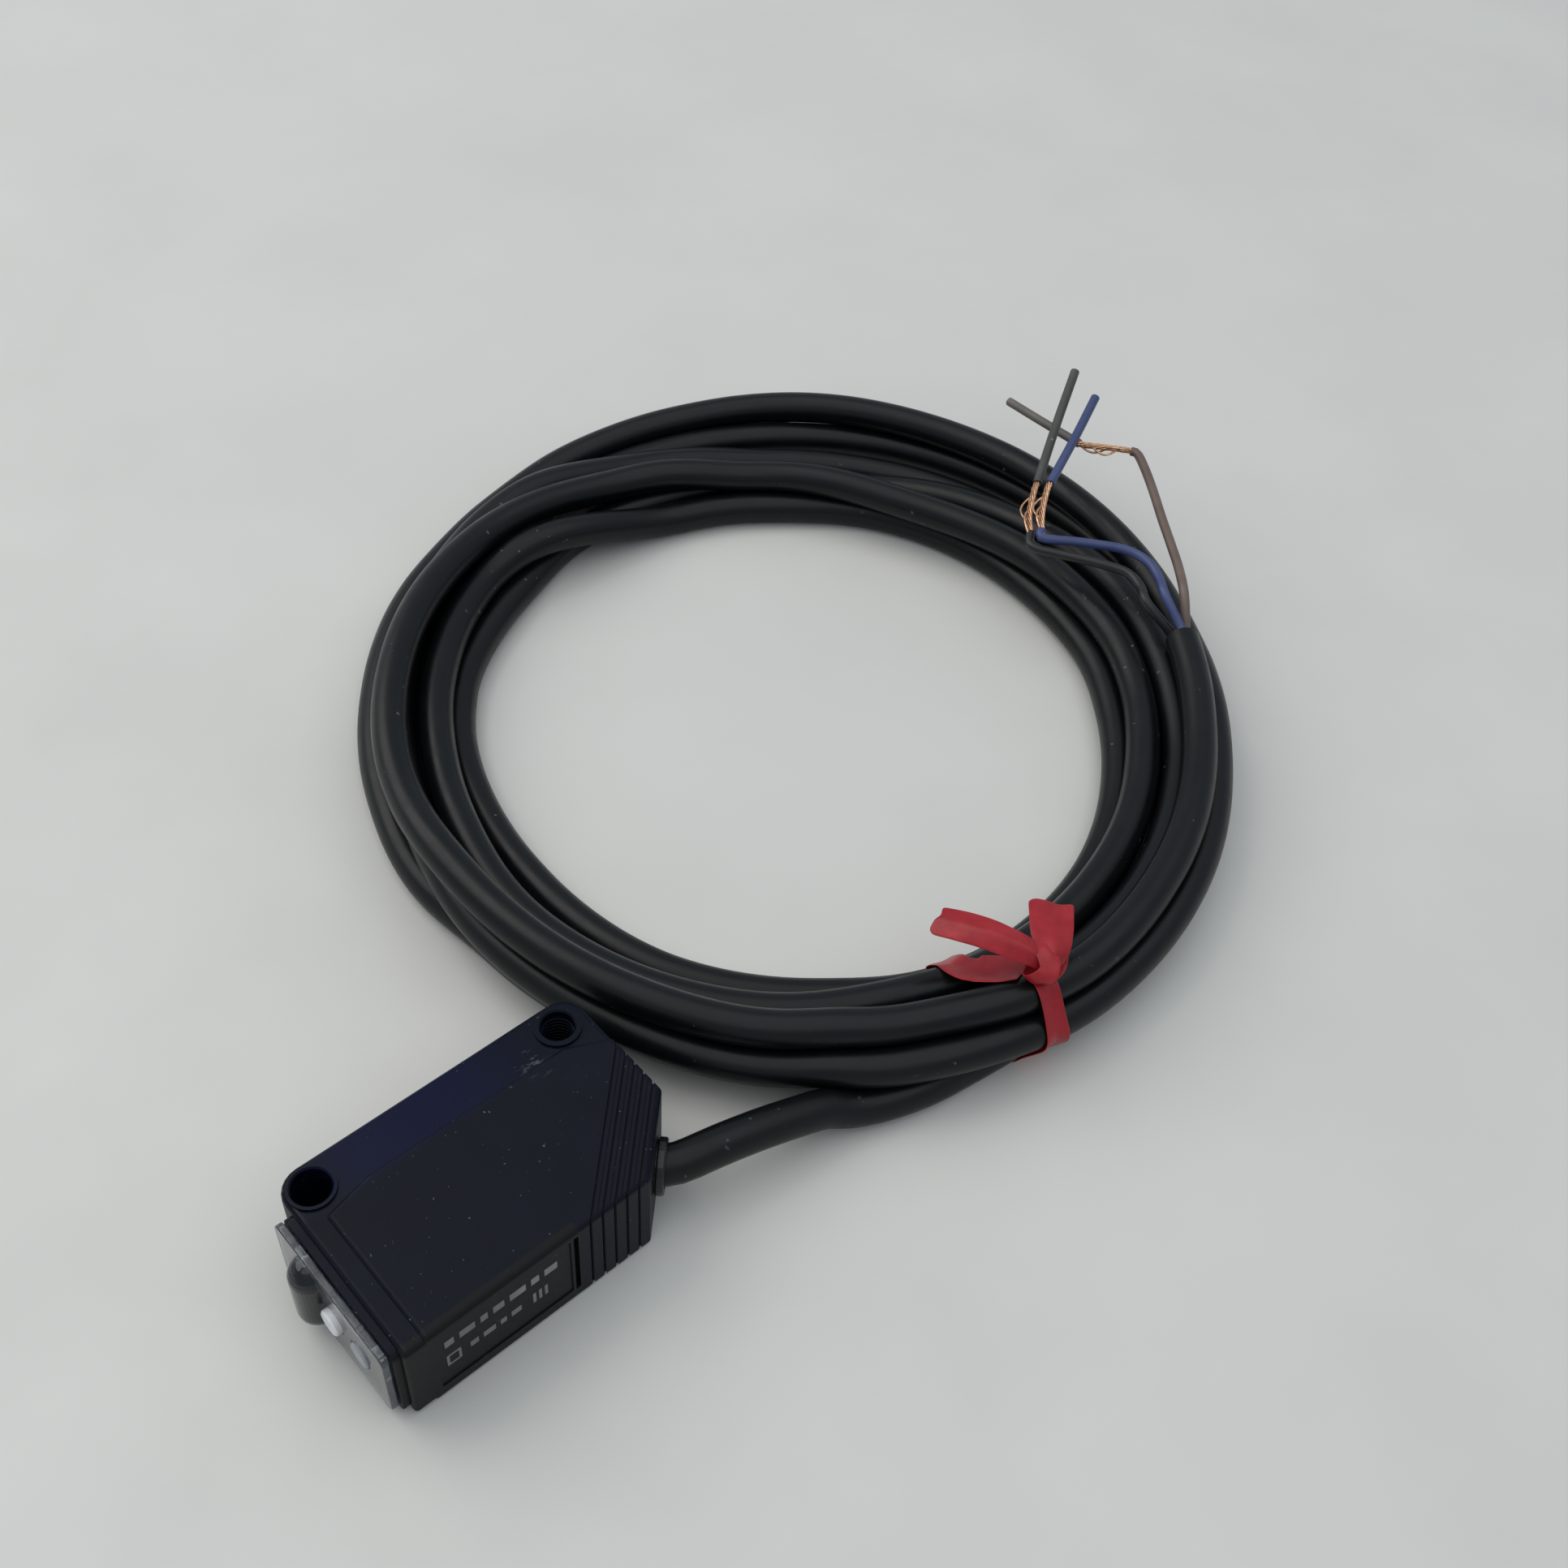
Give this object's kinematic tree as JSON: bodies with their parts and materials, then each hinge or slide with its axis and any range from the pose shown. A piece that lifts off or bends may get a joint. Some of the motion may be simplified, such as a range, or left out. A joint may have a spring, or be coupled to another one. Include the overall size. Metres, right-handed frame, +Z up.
{
  "type": "photoelectric sensor",
  "caption": "Miniature photoelectric sensor: flat black case with through holes beside its lens face, clear indicator cover, two adjusters, and a coiled cable with stripped leads.",
  "frame": {"origin": "middle of the sensor's footprint on the surface it lies on, cable left out", "axes": "the sensor lies on its flat side: +Z up through its thickness, +X from the lens face to the back, +Y from the indicator end to the end with the cable corner"},
  "size_m": [0.0986, 0.135, 0.0175],
  "materials": {
    "case_plastic": "fine satin moulded plastic",
    "lens_window": "polished dark red window",
    "clear_cover": "clear polished plastic",
    "inner_black": "matte moulded plastic",
    "circuit_board": "solder-masked board",
    "chip_black": "moulded chip package",
    "led_clear": "clear cast resin",
    "led_green": "tinted cast resin",
    "led_orange": "tinted cast resin",
    "steel": "plain sheet",
    "knob_white": "translucent white",
    "knob_clear": "frosted clear",
    "adjuster_body": "moulded component body",
    "seal_rubber": "plain rubber",
    "flex_film": "amber film",
    "grommet_black": "glossy rubber",
    "cable_sheath": "satin soft sheath",
    "lead_brown": "soft insulation",
    "lead_blue": "soft insulation",
    "lead_black": "soft insulation",
    "copper": "bare twisted copper strands",
    "tie_red": "thin plastic ribbon"
  },
  "bodies": {
    "sensor": {"main_case": "case_plastic", "front_lens": "lens_window", "optics_frame": "inner_black", "emitter_led": "led_clear", "receiver_ic": "led_clear", "receiver_slit": "steel", "optics_board": "circuit_board", "main_board": "circuit_board", "control_ic": "chip_black", "filter_capacitor": "led_orange", "output_transistor": "chip_black", "shield_can": "steel", "front_link": "flex_film", "top_link": "flex_film", "indicator_cover": "clear_cover", "adjuster_board": "circuit_board", "sensitivity_potentiometer": "adjuster_body", "mode_switch": "adjuster_body", "knob_seal": "seal_rubber", "mode_seal": "seal_rubber", "power_led": "led_green", "output_led": "led_orange", "cable_grommet": "grommet_black", "cable_clamp": "steel", "inner_lead_brown": "lead_brown", "inner_lead_blue": "lead_blue", "inner_lead_black": "lead_black", "cable_start": "cable_sheath", "cable_coil": "cable_sheath", "lead_brown": "lead_brown", "lead_blue": "lead_blue", "lead_black": "lead_black", "core_brown": "copper", "core_blue": "copper", "core_black": "copper", "sleeve_brown": "lead_brown", "sleeve_blue": "lead_blue", "sleeve_black": "lead_black", "cable_tie": "tie_red"},
    "sensitivity_adjuster": {"sensitivity_knob": "knob_white"},
    "mode_adjuster": {"mode_knob": "knob_clear"}
  },
  "joints": [
    {"name": "sensitivity_turn", "type": "hinge", "parent": "sensor", "child": "sensitivity_adjuster", "pos_m": [0.0012, -0.01395, 0.0056], "axis": [0, 1, 0], "range_deg": [-120, 120]},
    {"name": "mode_turn", "type": "hinge", "parent": "sensor", "child": "mode_adjuster", "pos_m": [0.0051, -0.01395, 0.0056], "axis": [0, 1, 0], "range_deg": [0, 90]}
  ]
}
